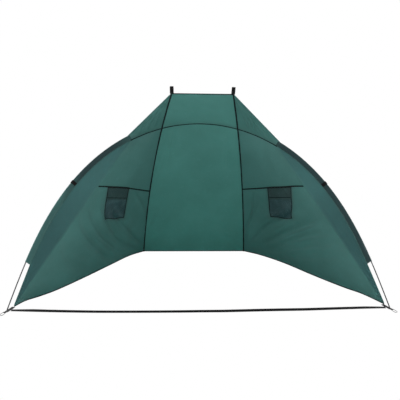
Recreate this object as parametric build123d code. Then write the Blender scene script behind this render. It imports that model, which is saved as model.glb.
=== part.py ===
from build123d import *
from math import asin, cos, pi, radians, sin
import os

os.makedirs("parts", exist_ok=True)

# Overall size, mm. X runs to the right, Y to the back, Z up; the ground is Z = 0
half_span = 1350  # middle to the foot of the arch pole
depth = 1200  # front ground line to the feet of the uprights
front_y = -574  # front ground line, so that the middle of the part is over the origin
arch_lean = radians(28.4)  # the arch leans back from its feet
foot_angle = radians(72.5)  # slope of the bent arch pole at its feet
back_half = 445  # middle to the foot of an upright
tip_half, tip_y, tip_z = 216, 407, 1465  # top of an upright, from the front ground line
cross_share = 0.1415  # where an upright meets the arch seam, as a share of the half arch
kink_share = 0.285  # where the gusset ends on the arch seam
mouth_share = 0.833  # lower end of the arch sleeve
tab_share = 0.517  # webbing tab on the arch sleeve
corner_x, corner_y = 1318, 74  # front ground corner of the cloth

# Thicknesses and diameters
cloth = 2.0
film = 1.0
arch_pole_d = 8.5
upright_pole_d = 7.0
sleeve_wall = 1.2
sleeve_play = 0.4  # between a pole and its sleeve, all round
seam_drop = 35.4  # arch pole axis to the arch seam
seat = 0.3  # gap between pieces laid together
cloth_gap = 1.1  # from the edge of a cloth panel to the seam or sleeve it is sewn to
hem_d = 5.0
strap_w, strap_t = 25, 2.0
hem_bow = 30  # outward bow of the wing's bottom edge
wing_belly = 20
back_belly = 25
hood_belly = 12
sleeve_top = 0.985
pole_low, pole_high = 0.003, 1.006  # ends of the upright poles, as shares of an upright
hood_top = 0.985  # top edge of the hood, as a share of the upright
gusset_top = 0.94
web_t = 2.4
window_x, window_y, window_z = 642, 681, 596  # middle of a window
window_w, window_h = 245, 280
window_across = Vector(0.573, -0.788, 0.226)  # top edge, rising to the front
window_rise = Vector(-0.136, -0.339, 0.931)  # sides
seam_len = 900  # window seam, cut off where the sheet ends
band_low, band_high = 0.03, 0.97  # ends of the band along the fold, as shares of it
seam_w, seam_t = 12, 1.6
flap_over, flap_t = 18, 1.4
foot_d, foot_h = 20, 26
pocket_w, pocket_t, pocket_h = 28, 14, 54
strap_y = 22  # middle of the front ground strap
tab_past = 20  # the corner tab runs on past the arch pole
tab_reach = 27
eyelet_r, eyelet_bore = 9.4, 15.6
roll_r, ring_hole_r, roll_w = 4.4, 3.0, 12  # rolled end of the corner tab
ring_wire, ring_len, ring_w = 3.6, 46, 26  # peg ring


# Arch pole: a slender rod bent between its feet, so its slope follows a sine of the run
STEPS = 240
STATIONS = 24  # straight runs that stand for each half of it


def run_table():
    xs, rs = [0.0], [0.0]
    for i in range(STEPS):
        a = foot_angle * sin(pi / 2 * (i + 0.5) / STEPS)
        xs.append(xs[-1] + cos(a) / STEPS)
        rs.append(rs[-1] + sin(a) / STEPS)
    return xs, rs


RUN_X, RUN_R = run_table()
half_length = half_span / RUN_X[-1]


def arch_point(share, inset=0.0, lift=0.0):
    """Point of the arch at a share of its half length, inset towards the middle of the opening
    and lifted off the plane of the arch to the outside."""
    i = min(int(abs(share) * STEPS), STEPS - 1)
    k = abs(share) * STEPS - i
    x = (RUN_X[i] + k * (RUN_X[i + 1] - RUN_X[i])) * half_length
    r = (RUN_R[-1] - RUN_R[i] - k * (RUN_R[i + 1] - RUN_R[i])) * half_length
    a = foot_angle * sin(pi / 2 * abs(share))
    x -= inset * sin(a)
    r -= inset * cos(a)
    side = -1 if share < 0 else 1
    y = front_y + r * sin(arch_lean) + lift * cos(arch_lean)
    return Vector(side * x, y, r * cos(arch_lean) - lift * sin(arch_lean))


def seam(share):
    return arch_point(share, seam_drop)


def mix(a, b, t):
    return a + (b - a) * t


# Uprights: bowed rods from the back corner over the arch seam to the hood tip
back_foot = Vector(back_half, front_y + depth, 0)
tip = Vector(tip_half, front_y + tip_y, tip_z)
crossing = seam(cross_share)
chord = tip - back_foot
cross_at = (crossing - back_foot).dot(chord) / chord.dot(chord)
upright_bow = (crossing - mix(back_foot, tip, cross_at)) * (0.25 / (cross_at * (1 - cross_at)))


def upright(t):
    return mix(back_foot, tip, t) + upright_bow * (4 * t * (1 - t))


hem_r = hem_d / 2
low = hem_r / (tip.Z + 4 * upright_bow.Z)  # where an upright passes the height of the hems
corner = Vector(corner_x, front_y + corner_y, hem_r)
hem_out = (corner - upright(low)).cross(Vector(0, 0, -1)).normalized()


def hem_line(u):
    """Axis of the hem along the bottom of the right wing, from its upright to the corner."""
    return mix(upright(low), corner, u) + hem_out * (hem_bow * 4 * u * (1 - u))


mouth = seam(mouth_share)
leg = (mouth - corner).length
edge_length = leg + (mouth_share - kink_share) * half_length


def outer_edge(v):
    """Front edge of a wing: straight from the corner to the sleeve mouth, then the arch seam."""
    s = v * edge_length
    if s < leg:
        return mix(corner, mouth, s / leg)
    return seam(mouth_share - (s - leg) / half_length)


def coons(bottom, top, left, right):
    """Surface between four edges that meet at the corners: u runs left to right, v bottom to top."""
    p00, p10, p01, p11 = bottom(0), bottom(1), top(0), top(1)

    def at(u, v):
        ruled = mix(bottom(u), top(u), v) + mix(left(v), right(v), u)
        return ruled - mix(mix(p00, p10, u), mix(p01, p11, u), v)

    return at


def grid(f, nu, nv, left=0, right=0, bottom=0, top=0):
    """Points of the surface, cut back square to its four edges by these distances."""
    d = 0.02
    us, vs = [i / nu for i in range(nu + 1)], [j / nv for j in range(nv + 1)]

    def share(gap, edge, inner, beside):
        away, run = inner - edge, beside - edge
        return gap * d * run.length / away.cross(run).length

    def near(t):
        return t + d if t < 0.5 else t - d

    lo_u = [share(left, f(0, v), f(d, v), f(0, near(v))) for v in vs]
    hi_u = [1 - share(right, f(1, v), f(1 - d, v), f(1, near(v))) for v in vs]
    lo_v = [share(bottom, f(u, 0), f(u, d), f(near(u), 0)) for u in us]
    hi_v = [1 - share(top, f(u, 1), f(u, 1 - d), f(near(u), 1)) for u in us]
    return [[f(mix(lo_u[j], hi_u[j], u), mix(lo_v[i], hi_v[i], v)) for j, v in enumerate(vs)]
            for i, u in enumerate(us)]


def taut(rows, rounds=150, belly=0.0):
    """Pulls a grid tight between its edges, as cloth is: each inner point goes to the middle of
    its neighbours. belly then lets it stand off the tight shape, towards u x v."""
    n, m = len(rows) - 1, len(rows[0]) - 1
    rows = [[(p.X, p.Y, p.Z) for p in row] for row in rows]
    for _ in range(rounds):
        for i in range(1, n):
            for j in range(1, m):
                near = rows[i - 1][j], rows[i + 1][j], rows[i][j - 1], rows[i][j + 1]
                rows[i][j] = tuple(sum(c) / 4 for c in zip(*near))
    rows = [[Vector(*p) for p in row] for row in rows]
    out = normals(rows)
    off = [[belly * 16 * i * (n - i) * j * (m - j) / (n * m) ** 2 for j in range(m + 1)]
           for i in range(n + 1)]
    return [[rows[i][j] + out[i][j] * off[i][j] for j in range(m + 1)] for i in range(n + 1)]


def normals(rows):
    n, m = len(rows) - 1, len(rows[0]) - 1

    def at(i, j):
        across = rows[min(i + 1, n)][j] - rows[max(i - 1, 0)][j]
        return across.cross(rows[i][min(j + 1, m)] - rows[i][max(j - 1, 0)]).normalized()

    return [[at(i, j) for j in range(m + 1)] for i in range(n + 1)]


def sheet(rows, thick, lift=0.0):
    """Closed solid of even thickness round a grid of points, lifted off it to the outside."""
    out = normals(rows)
    low = [[p + q * (lift - thick / 2) for p, q in zip(a, b)] for a, b in zip(rows, out)]
    return Solid.thicken(Face.make_surface_from_array_of_points(low, tol=0.1), thick)


def octagon(radius):
    return RegularPolygon(radius, 8)


def bore(radius):
    """Octagon that clears a round bar of this radius."""
    return RegularPolygon(radius, 8, major_radius=False)


def rod(curve, start, end, section, spans=12):
    """Bar of this section along a curve, in straight runs between places that all its bars share,
    so that a pole and its sleeve bend together."""
    def at(t):
        i = min(int(t * spans), spans - 1)
        return mix(curve(i / spans), curve((i + 1) / spans), t * spans - i)

    between = [k / spans for k in range(1, spans)]
    places = [start] + [k for k in between if start + 0.004 < k < end - 0.004] + [end]
    step = 0.001
    rings = [Plane(at(t), z_dir=curve(t + step) - curve(t - step)) * section for t in places]
    return loft(rings, ruled=True)


def bar(a, b, section):
    return loft([Plane(p, z_dir=b - a) * section for p in (a, b)], ruled=True)


def arch_bar(section, start, end):
    """Section run along the arch, station by station: its x points into the opening, its y off
    the arch's plane."""
    between = [k / STATIONS for k in range(-STATIONS, STATIONS + 1)]
    places = [start] + [k for k in between if start + 0.004 < k < end - 0.004] + [end]
    off_plane = arch_point(0, 0, 1) - arch_point(0)
    inward = [arch_point(t, 1) - arch_point(t) for t in places]
    return loft([Plane(arch_point(t), x_dir=x, z_dir=x.cross(off_plane)) * section
                 for t, x in zip(places, inward)], ruled=True)


def biggest(shape):
    return max(shape.solids(), key=lambda s: s.volume)


def mirrored(shape):
    return shape.mirror(Plane.YZ)


def save(name, shape):
    shape = biggest(shape)
    shape.label = name
    export_step(shape, f"parts/{name}.step")


def save_pair(name, shape):
    """The modelled piece is the right one; the left one is its mirror image."""
    shape = biggest(shape)
    save("right_" + name, shape)
    save("left_" + name, mirrored(shape))


# What the edges of the cloth leave for the bound seams and hems that they meet
sleeve_in = upright_pole_d / 2 + sleeve_play
sleeve_out = sleeve_in + sleeve_wall
upright_edge = sleeve_out + cloth_gap
bound_edge = hem_r + cloth_gap
by_sleeve, by_hem = sleeve_out + seat, hem_r + seat  # where the edges are nearly straight
arch_in = arch_pole_d / 2 + sleeve_play
arch_out = arch_in + sleeve_wall
foot_room = Pos(back_foot.X, back_foot.Y, 0) * Cylinder(foot_d / 2 + seat, 80)


def flipped(curve):
    return lambda t: Vector(-curve(t).X, curve(t).Y, curve(t).Z)


# Right wing: one cloth with a straight fold from its front corner to the kink. Inside the fold it
# is drawn tight from the hem and the upright; outside, a band runs on to the arch
kink = seam(kink_share)
fold = lambda v: mix(corner, kink, v)
wing = coons(hem_line, lambda u: seam(mix(cross_share, kink_share, u)),
             lambda v: upright(mix(low, cross_at, v)), fold)
wing_grid = grid(wing, 14, 14, upright_edge, 0, bound_edge, bound_edge)
wing_rows = taut(wing_grid, belly=-wing_belly)


def band_section(v):
    """Thin section from the fold to where the band meets the bound seam of the arch."""
    across, run = outer_edge(v) - fold(v), outer_edge(v + 0.001) - outer_edge(v - 0.001)
    off = across.cross(run)
    gap = by_hem if v * edge_length < leg else bound_edge
    width = across.length * (1 - gap * run.length / off.length)
    place = Plane(fold(v), x_dir=across, z_dir=across.cross(off))
    return place * Pos(width / 2 - cloth / 4, 0) * Rectangle(width + cloth / 2, cloth)


band_places = [mix(band_low, band_high, i / STATIONS) for i in range(STATIONS + 1)]
band_sheet = loft([band_section(v) for v in band_places], ruled=True)
window_mid = Vector(window_x, front_y + window_y, window_z)
window_face = Plane(window_mid, x_dir=window_across, z_dir=window_across.cross(window_rise))
window_skew = window_rise.normalized().dot(window_face.x_dir)  # its sides hang upright


def window_block(width, height, mid_up=0.0):
    """Skewed block through the wing, for cutting the window and what goes with it."""
    side = height / 2
    corners = [(-width / 2, -side), (width / 2, -side), (width / 2, side), (-width / 2, side)]
    outline = [(x + window_skew * y, y) for x, y in corners]
    place = window_face * Pos(window_skew * mid_up, mid_up, 0)
    return extrude(place * make_face(Polyline(*outline, close=True)), 120, both=True)


ends = bar(corner, mix(corner, mouth, 0.3), octagon(bound_edge))
ends = ends + arch_bar(Pos(seam_drop, 0) * octagon(bound_edge), kink_share - 0.01, kink_share + 0.04)
wing_sheet = sheet(wing_rows, cloth) - window_block(window_w, window_h) - foot_room - ends
save_pair("wing", wing_sheet + band_sheet)
save_pair("window_film", sheet(wing_rows, film) & window_block(window_w - 2 * seat, window_h - 2 * seat))
inside = cloth / 2 + seat
seam_strip = sheet(wing_rows, seam_t, inside + seam_t / 2)
save_pair("window_seam", seam_strip & window_block(seam_len, seam_w, window_h / 2 + seam_w / 2 + 1))
flap_rows = sheet(wing_rows, flap_t, -inside - flap_t / 2)
save_pair("window_flap", flap_rows & window_block(window_w + 2 * flap_over, window_h + 2 * flap_over))

# Back panel and hood between the uprights
arc = lambda u: seam(mix(-cross_share, cross_share, u))
back = coons(lambda u: mix(flipped(upright)(low), upright(low), u), arc,
             lambda v: flipped(upright)(mix(low, cross_at, v)), lambda v: upright(mix(low, cross_at, v)))
back_grid = grid(back, 8, 12, upright_edge, upright_edge, bound_edge, bound_edge)
back_sheet = sheet(taut(back_grid, belly=-back_belly), cloth)
save("back_panel", back_sheet - foot_room - mirrored(foot_room))
top_line = lambda u: mix(flipped(upright)(hood_top), upright(hood_top), u)
high = lambda v: mix(cross_at, hood_top, v)
hood = coons(arc, top_line, lambda v: flipped(upright)(high(v)), lambda v: upright(high(v)))
hood_grid = grid(hood, 8, 6, by_sleeve, by_sleeve, bound_edge, by_hem)
save("hood_panel", sheet(taut(hood_grid, belly=-hood_belly), cloth))

# Gusset: three-sided, cut off under the tip pocket
brow = lambda v: mix(kink, tip, v)
gusset_end = lambda u: mix(upright(high(gusset_top)), brow(gusset_top), u)
gusset = coons(lambda u: seam(mix(cross_share, kink_share, u)), gusset_end,
               lambda v: upright(high(v * gusset_top)), lambda v: brow(v * gusset_top))
save_pair("hood_gusset", sheet(grid(gusset, 6, 10, by_sleeve, by_hem, bound_edge, 0), cloth))

# Poles
below = Pos(0, front_y, -foot_h / 2) * Box(3 * half_span, foot_h, foot_h)
save("arch_pole", arch_bar(RegularPolygon(arch_pole_d / 2, 16), -1, 1) - below)
save_pair("upright_pole", rod(upright, pole_low, pole_high, RegularPolygon(upright_pole_d / 2, 12)))
foot = Pos(back_foot.X, back_foot.Y, foot_h / 2) * Cylinder(foot_d / 2, foot_h)
foot = chamfer(foot.edges().group_by(Axis.Z)[-1], 2)
socket = rod(upright, pole_low - 0.0004, 0.05, Circle(upright_pole_d / 2 + seat))
save_pair("back_foot", foot - socket)

# Sleeves: the arch sleeve is a tube on a flat web that reaches the arch seam
web_end = seam_drop - bound_edge
web = Pos((arch_in + web_end) / 2, 0) * Rectangle(web_end - arch_in, web_t)
clear = rod(upright, cross_at - 0.04, cross_at + 0.04, Circle(sleeve_out + seat))
sleeve = arch_bar(octagon(arch_out) + web, -mouth_share, mouth_share)
sleeve = sleeve - arch_bar(bore(arch_in), -mouth_share - 0.001, mouth_share + 0.001)
save("arch_sleeve", sleeve - clear - mirrored(clear))
tube = rod(upright, 0.02, sleeve_top, octagon(sleeve_out))
save_pair("upright_sleeve", tube - rod(upright, 0.0199, sleeve_top + 0.0001, bore(sleeve_in)))

# Bound seams and hems
bound = Pos(seam_drop, 0) * octagon(hem_r)
save_pair("arch_seam", arch_bar(bound, cross_share, mouth_share) - clear)
save("centre_arch_seam", arch_bar(bound, -cross_share, cross_share) - clear - mirrored(clear))
back_hem = bar(flipped(upright)(low), upright(low), octagon(hem_r))
save("back_hem", back_hem - foot_room - mirrored(foot_room))

# Corner tab on the ground, from the cloth's corner out past the foot of the arch pole
arch_foot = Vector(half_span, front_y, 0)
tab_start = Vector(corner.X, corner.Y, 0)
tab_way = (arch_foot - tab_start).normalized()
tab_len = (arch_foot - tab_start).length + tab_past


def tab_block(extra, height):
    mid = tab_start + tab_way * (tab_len / 2) + Vector(0, 0, strap_t / 2)
    return Plane(mid, x_dir=tab_way) * Box(tab_len + 2 * extra, strap_w + 2 * extra, height)


eyelet_place = Plane(arch_foot)
hole = eyelet_place * Cylinder(eyelet_r + seat, 40)
tab_end = tab_start + tab_way * tab_len + Vector(0, 0, roll_r)
across = Plane(tab_end, z_dir=tab_way.cross(Vector(0, 0, 1)))
roll = across * Cylinder(roll_r, roll_w)
save_pair("corner_tab", (tab_block(0, strap_t) - hole) + roll - across * Cylinder(ring_hole_r, 60))
flange = Pos(0, 0, strap_t + seat + 0.6) * Cylinder(eyelet_r + 3, 1.2)
barrel = Pos(0, 0, (strap_t + seat + 1.2) / 2) * Cylinder(eyelet_r, strap_t + seat + 1.2)
save_pair("corner_eyelet", eyelet_place * (barrel + flange - Cylinder(eyelet_bore / 2, 40)))
room = tab_block(seat, 30)
save_pair("wing_hem", rod(hem_line, 0, 1, octagon(hem_r), 6) - foot_room - room)
save_pair("front_hem", bar(mix(mouth, corner, 2 / leg), mix(corner, mouth, 12 / leg), octagon(hem_r)) - room)
strap = Pos(0, front_y + strap_y, strap_t / 2) * Box(2 * half_span, strap_w, strap_t)
save("front_ground_strap", strap - room - mirrored(room))

# Tip pockets and the hems that end at them
pocket_way = Vector(0.03, -0.25, 0.97).normalized()
pocket_place = Plane(tip + pocket_way * (pocket_h / 2 - 4), x_dir=(1, 0, 0.0), z_dir=pocket_way)
pocket = pocket_place * Box(pocket_w, pocket_t, pocket_h)
socket = rod(upright, 0.96, pole_high + 0.0004, Circle(upright_pole_d / 2 + seat))
save_pair("tip_pocket", chamfer(pocket.edges(), 1.5) - socket)
pocket_room = pocket_place * Box(pocket_w + 2 * seat, pocket_t + 2 * seat, pocket_h + 2 * seat)
tip_clear = rod(upright, 0.9, 0.999, Circle(sleeve_out + seat))
no_tip = tip_clear + pocket_room
save("top_hem", bar(top_line(0), top_line(1), octagon(hem_r)) - no_tip - mirrored(no_tip))
kink_end = mix(kink, tip, 14 / (tip - kink).length)
save_pair("gusset_hem", bar(kink_end, tip, octagon(hem_r)) - no_tip)

# Webbing tab folded round the arch sleeve
reach = arch_out + seat
loop = Circle(reach + strap_t) + Pos(tab_reach / 2, 0) * Rectangle(tab_reach, 2 * (reach + strap_t))
loop = loop - Circle(reach) - Pos(tab_reach / 2, 0) * Rectangle(tab_reach + 1, 2 * reach)
save_pair("arch_tab", arch_bar(loop, tab_share - 0.0045, tab_share + 0.0045))

# Peg ring in the rolled end of the corner tab, its far side down on the ground
ring_reach = ring_len - ring_wire
drop = asin((roll_r - ring_wire / 2 - 0.15) / ring_reach)
ring_way = tab_way * cos(drop) - Vector(0, 0, sin(drop))
ring_mid = tab_end + ring_way * (ring_reach / 2)
ring_face = Plane(ring_mid, x_dir=ring_way, z_dir=ring_way.cross(across.z_dir))
bend = ring_w / 3
ring = RectangleRounded(ring_len, ring_w, bend)
ring = ring - RectangleRounded(ring_len - 2 * ring_wire, ring_w - 2 * ring_wire, bend - ring_wire)
save_pair("peg_ring", extrude(ring_face * ring, ring_wire / 2, both=True))
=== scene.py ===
import math

import bmesh
import bpy
import numpy as np
from mathutils import Matrix, Vector
from mathutils.bvhtree import BVHTree


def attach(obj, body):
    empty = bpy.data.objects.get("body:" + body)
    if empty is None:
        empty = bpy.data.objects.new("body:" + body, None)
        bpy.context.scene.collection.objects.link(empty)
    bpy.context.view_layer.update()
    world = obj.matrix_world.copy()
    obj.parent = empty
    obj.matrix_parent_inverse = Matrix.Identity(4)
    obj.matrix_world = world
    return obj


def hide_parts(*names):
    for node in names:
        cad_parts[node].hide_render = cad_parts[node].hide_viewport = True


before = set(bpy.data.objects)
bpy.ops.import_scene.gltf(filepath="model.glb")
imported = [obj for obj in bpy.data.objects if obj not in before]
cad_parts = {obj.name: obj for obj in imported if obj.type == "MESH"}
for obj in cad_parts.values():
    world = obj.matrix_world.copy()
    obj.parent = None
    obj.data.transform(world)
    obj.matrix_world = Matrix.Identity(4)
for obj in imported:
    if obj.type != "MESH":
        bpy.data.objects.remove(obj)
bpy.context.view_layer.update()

# Dimensions, metres: the CAD part's, changed a little where the real cloth and webbing hang.
# X runs to the right, Y to the back, Z up; the modelled side is the right one
HALF_SPAN, DEPTH, FRONT_Y = 1.350, 1.200, -0.574
LEAN, FOOT_ANGLE = math.radians(28.4), math.radians(72.5)  # of the arch, and of its pole at the feet
BACK_HALF = 0.445  # middle to the foot of an upright
TIP = np.array([0.216, FRONT_Y + 0.407, 1.468])  # top of an upright
CROSS, MOUTH, TAB = 0.1415, 0.833, 0.517  # upright, sleeve mouth and tab, as shares of the half arch
POLE_R, UPRIGHT_R, PIPING_R, HEM_R = 0.00425, 0.0035, 0.0057, 0.0025
SEAM_DROP = 0.0354  # arch pole to the bound seam under it
CLOTH_T, WEBBING_T = 0.0007, 0.0016
CORNER = np.array([1.318, FRONT_Y + 0.074, HEM_R])
WING_BELLY, BACK_BELLY, HOOD_BELLY = 0.020, 0.025, 0.012
HOOD_TOP = 0.997  # top edge of the hood, as a share of the upright
WINDOW_MID = np.array([0.643, FRONT_Y + 0.683, 0.590])
WINDOW_ACROSS = np.array([0.573, -0.788, 0.226])
WINDOW_RISE = np.array([-0.136, -0.339, 0.931])
WINDOW_W, WINDOW_H = 0.245, 0.268
CROSS_SEAM = WINDOW_H * 0.68  # seam across the window mesh, above its bottom edge
COVER_OVER = 0.018  # the storm flap runs past the window by this
STRAP_END, STRAP_Y, STRAP_W, STRAP_T = 1.322, FRONT_Y + 0.022, 0.025, 0.002
STRAP_SLACK, STRAP_LEAN = 0.045, 0.26
WEBBING_ROWS = (-0.0095, 0.0095)  # stitches along both edges of the webbing
MIRROR = np.array([-1.0, 1.0, 1.0])
SIDES = ((-1, "left"), (1, "right"))
FLIP = {-1: MIRROR, 1: np.ones(3)}
UP = np.array([0, 0, 1.0])
# How each side is pitched: where its fold meets the arch, its corner, its hem's bow along the ground
KINKS = {-1: 0.264, 1: 0.300}
CORNERS = {-1: CORNER, 1: CORNER + [0.016, 0, 0]}
HEM_AT = np.array([0, 0.12, 0.30, 0.53, 0.73, 0.84, 0.92, 1])
HEM_BOWS = {-1: [0, 0.026, 0.010, -0.012, -0.021, -0.006, 0.014, 0],
            1: [0, 0.044, 0.058, 0.034, 0.024, 0.032, 0.020, 0]}

# Arch pole: the same bent rod as in the part
STEPS = 240
_a = FOOT_ANGLE * np.sin(np.pi / 2 * (np.arange(STEPS) + 0.5) / STEPS)
RUN_X = np.concatenate([[0], np.cumsum(np.cos(_a))]) / STEPS
RUN_R = np.concatenate([[0], np.cumsum(np.sin(_a))]) / STEPS
HALF_LENGTH = HALF_SPAN / RUN_X[-1]


def arch(share, inset=0.0, lift=0.0):
    """Points of the arch at these shares of its half length."""
    share = np.asarray(share, float)
    at = np.abs(share) * STEPS
    x = np.interp(at, np.arange(STEPS + 1), RUN_X) * HALF_LENGTH
    r = (RUN_R[-1] - np.interp(at, np.arange(STEPS + 1), RUN_R)) * HALF_LENGTH
    a = FOOT_ANGLE * np.sin(np.pi / 2 * np.abs(share))
    x, r = x - inset * np.sin(a), r - inset * np.cos(a)
    side = np.where(share < 0, -1, 1)
    y = FRONT_Y + r * math.sin(LEAN) + lift * math.cos(LEAN)
    return np.stack([side * x, y, r * math.cos(LEAN) - lift * math.sin(LEAN)], -1)


def seam(share):
    return arch(share, SEAM_DROP)


def mix(a, b, t):
    t = np.asarray(t, float)
    if t.ndim:
        t = t[..., None]
    return a + (b - a) * t


def unit(v):
    return v / np.linalg.norm(v, axis=-1, keepdims=True)


BACK_FOOT = np.array([BACK_HALF, FRONT_Y + DEPTH, 0.0])
CROSSING = seam(CROSS)
_chord = TIP - BACK_FOOT
CROSS_AT = float((CROSSING - BACK_FOOT) @ _chord / (_chord @ _chord))
BOW = (CROSSING - mix(BACK_FOOT, TIP, CROSS_AT)) * 0.25 / (CROSS_AT * (1 - CROSS_AT))
LOW = HEM_R / (TIP[2] + 4 * BOW[2])
MOUTH_AT = seam(MOUTH)


def upright(t):
    t = np.asarray(t, float)
    return mix(BACK_FOOT, TIP, t) + BOW * (4 * t * (1 - t))[..., None]


def low_upright(v):
    return upright(LOW + (CROSS_AT - LOW) * v)


def high_upright(v):
    return upright(CROSS_AT + (HOOD_TOP - CROSS_AT) * v)


def hem_line(u, side):
    start = upright(LOW)
    out = unit(np.cross(CORNERS[side] - start, -UP))
    knots = smooth_path(np.stack([HEM_AT, HEM_BOWS[side]], -1), 200)
    return mix(start, CORNERS[side], u) + out * np.interp(u, knots[:, 0], knots[:, 1])[..., None]


def fold_line(v, side):
    return mix(CORNERS[side], seam(KINKS[side]), v)


def outer_edge(v, side):
    straight = np.linalg.norm(MOUTH_AT - CORNERS[side])
    bent = (MOUTH - KINKS[side]) * HALF_LENGTH
    s = np.asarray(v, float) * (straight + bent)
    low = mix(CORNERS[side], MOUTH_AT, np.clip(s / straight, 0, 1))
    high = seam(MOUTH - (s - straight) / HALF_LENGTH)
    return np.where((s < straight)[..., None], low, high)


def coons(bottom, top, left, right):
    """Grid of points between four edges given as rows of points."""
    n, m = len(bottom), len(left)
    u = np.linspace(0, 1, n)[:, None, None]
    v = np.linspace(0, 1, m)[None, :, None]
    ruled = bottom[:, None] * (1 - v) + top[:, None] * v + left[None] * (1 - u) + right[None] * u
    corners = (bottom[0] * (1 - u) + bottom[-1] * u) * (1 - v) + (top[0] * (1 - u) + top[-1] * u) * v
    return ruled - corners


def taut(p, rounds=80):
    """Pulls a grid tight between its edges, coarse grids first."""
    if len(p) > 20 and len(p) % 2 and p.shape[1] % 2:
        coarse = taut(p[::2, ::2], rounds)
        fine = p.copy()
        fine[::2, ::2] = coarse
        fine[1:-1:2, ::2] = (coarse[1:] + coarse[:-1]) / 2
        fine[:, 1:-1:2] = (fine[:, 2::2] + fine[:, :-2:2]) / 2
        fine[0], fine[-1], fine[:, 0], fine[:, -1] = p[0], p[-1], p[:, 0], p[:, -1]
        p = fine
    else:
        rounds *= 6
    for _ in range(rounds):
        p[1:-1, 1:-1] = (p[2:, 1:-1] + p[:-2, 1:-1] + p[1:-1, 2:] + p[1:-1, :-2]) / 4
    return p


def normals(p):
    n = np.cross(np.gradient(p, axis=0), np.gradient(p, axis=1))
    return n / np.maximum(np.linalg.norm(n, axis=-1, keepdims=True), 1e-12)


def uv_grid(p):
    return np.meshgrid(np.linspace(0, 1, p.shape[0]), np.linspace(0, 1, p.shape[1]), indexing="ij")


def edge_fade(p, power):
    """0 at a grid's edges, 1 in its middle."""
    u, v = uv_grid(p)
    return (16 * u * (1 - u) * v * (1 - v)) ** power


def belly(p, depth):
    return p + normals(p) * (depth * edge_fade(p, 1))[..., None]


def sample(p, uv):
    """Points of a grid at (u, v) pairs."""
    uv = np.asarray(uv, float)
    x, y = uv[:, 0] * (p.shape[0] - 1), uv[:, 1] * (p.shape[1] - 1)
    i, j = np.minimum(x.astype(int), p.shape[0] - 2), np.minimum(y.astype(int), p.shape[1] - 2)
    fx, fy = (x - i)[:, None], (y - j)[:, None]
    low = p[i, j] * (1 - fx) + p[i + 1, j] * fx
    high = p[i, j + 1] * (1 - fx) + p[i + 1, j + 1] * fx
    return low * (1 - fy) + high * fy


def smooth_path(points, count=48):
    """Catmull-Rom path through a few points."""
    pts = np.asarray(points, float)
    pts = np.vstack([2 * pts[0] - pts[1], pts, 2 * pts[-1] - pts[-2]])
    t = np.linspace(0, len(pts) - 3 - 1e-9, count)
    i = t.astype(int)
    f = (t - i)[:, None]
    a, b, c, d = pts[i], pts[i + 1], pts[i + 2], pts[i + 3]
    return 0.5 * (2 * b + (c - a) * f + (2 * a - 5 * b + 4 * c - d) * f**2 + (3 * b - a - 3 * c + d) * f**3)


def add_folds(p, folds, fade=0.35):
    """Lifts soft folds along paths given in (u, v): (points, height, half width), both in metres."""
    out = normals(p)
    off = np.zeros(p.shape[:2])
    for points, height, width in folds:
        path = sample(p, np.clip(smooth_path(points), 0, 1))
        run = unit(np.gradient(path, axis=0))
        gap = p[:, :, None] - path[None, None]
        far = np.linalg.norm(gap, axis=-1)
        k = far.argmin(-1)
        near = np.take_along_axis(gap, k[..., None, None], 2)[:, :, 0]
        side = np.sign((np.cross(run[k], near) * out).sum(-1))
        d = far.min(-1) * side / width
        along = k / (len(path) - 1)
        strength = np.sin(np.pi * np.clip(along * 0.92 + 0.04, 0, 1)) ** 0.7
        off += height * strength * (np.exp(-d * d) - 0.55 * np.exp(-((d - 1.7) ** 2) / 1.6))
    return p + out * (off * edge_fade(p, fade))[..., None]


def ripple(p, seed, size, scale, stretch=(1, 1), fade=0.35):
    """Slight unevenness of tight cloth: a few crossed waves of one seed."""
    r = np.random.default_rng(seed)
    u, v = uv_grid(p)
    total = np.zeros_like(u)
    for _ in range(14):
        k = r.normal(0, scale, 2) * stretch
        total += np.sin(2 * np.pi * (k[0] * u + k[1] * v) + r.uniform(0, 2 * np.pi))
    return p + normals(p) * (size * total / 3.7 * edge_fade(p, fade))[..., None]


def puckers(p, edge, count, size, reach, seed):
    """Small gathers that run in from a sewn edge: 'u0', 'u1', 'v0' or 'v1'."""
    r = np.random.default_rng(seed)
    u, v = uv_grid(p)
    along, away = (v, u) if edge[0] == "u" else (u, v)
    away = away if edge[1] == "0" else 1 - away
    bend = 0.03 * np.sin(2 * np.pi * (3 * along + 2 * away) + r.uniform(0, 6))
    x = (along + bend) * count
    wave = np.zeros_like(u)
    for k in range(int(count) + 1):
        amp, shift = r.uniform(0.2, 1), r.uniform(-0.3, 0.3)
        wide, long = r.uniform(0.15, 0.35), r.uniform(0.5, 1.4)
        wave += amp * np.exp(-(((x - k - shift) / wide) ** 2)) * np.exp(-away / (reach * long))
    soft = np.clip(away / 0.02, 0, 1)
    return p + normals(p) * (size * wave * soft * np.clip(edge_fade(p, 0.15), 0, 1))[..., None]


def wander(r, count, steps):
    """Random values at a few even places, run straight between them."""
    return np.interp(np.linspace(0, steps, count), np.arange(steps + 1), r.normal(0, 1, steps + 1))


def squarish(v, power):
    return np.sign(v) * np.abs(v) ** power


# Materials
WAVE_BAND = 0.314159  # width of a wave texture's band at scale 1
BLACK, WHITE = (0, 0, 0, 1), (1, 1, 1, 1)


def srgb(r, g, b):
    return tuple((c / 255 / 12.92 if c <= 10 else ((c / 255 + 0.055) / 1.055) ** 2.4) for c in (r, g, b)) + (1,)


def node(nt, kind):
    return nt.nodes.new("ShaderNode" + kind)


def new_material(name):
    mat = bpy.data.materials.new(name)
    mat.use_nodes = True
    nt = mat.node_tree
    nt.nodes.clear()
    out = node(nt, "OutputMaterial")
    bsdf = node(nt, "BsdfPrincipled")
    nt.links.new(bsdf.outputs[0], out.inputs[0])
    return mat, nt, bsdf, out


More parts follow.
